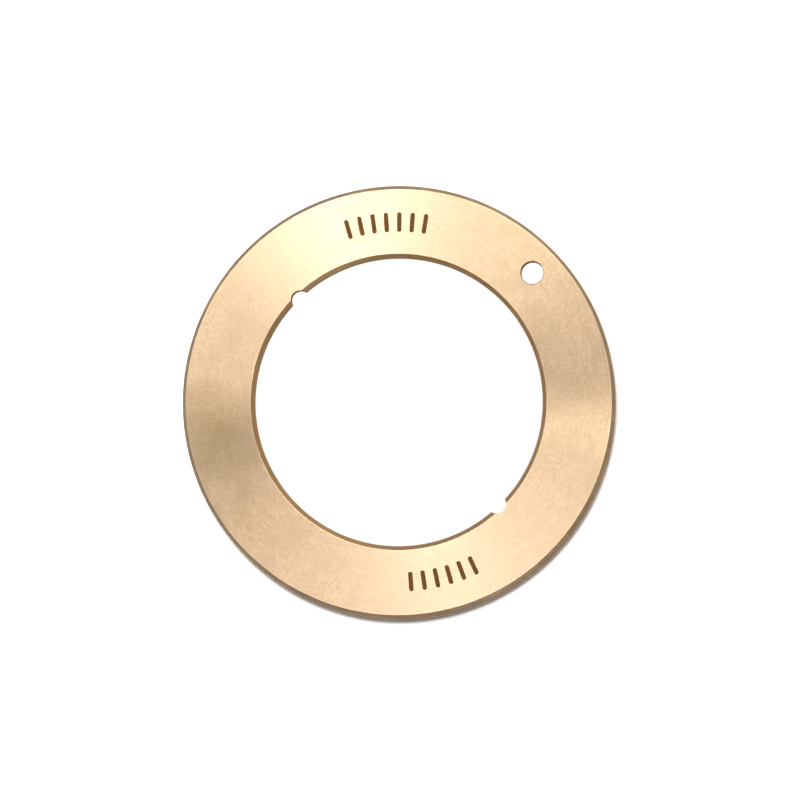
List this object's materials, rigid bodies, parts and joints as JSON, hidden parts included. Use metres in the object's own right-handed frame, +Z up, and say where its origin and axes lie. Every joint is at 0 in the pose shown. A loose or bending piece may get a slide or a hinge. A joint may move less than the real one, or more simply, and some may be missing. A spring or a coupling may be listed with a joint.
{
  "type": "trunnion washer",
  "caption": "Flat bronze thrust ring with chamfered edges, a large bore, a dowel hole near the rim and grease notches in the bore.",
  "frame": {"origin": "on the ring's axis, in the plane of the lower face, which the washer lies on", "axes": "+Z up along the ring's axis, out of the upper face; +X and +Y in the lower face, with the dowel hole at 43.8 degrees from +X towards +Y, as the picture shows it from above"},
  "size_m": [0.154, 0.154, 0.0063],
  "materials": {
    "bronze": "turned"
  },
  "bodies": {
    "root": {"trunnion_washer": "bronze"}
  },
  "joints": []
}
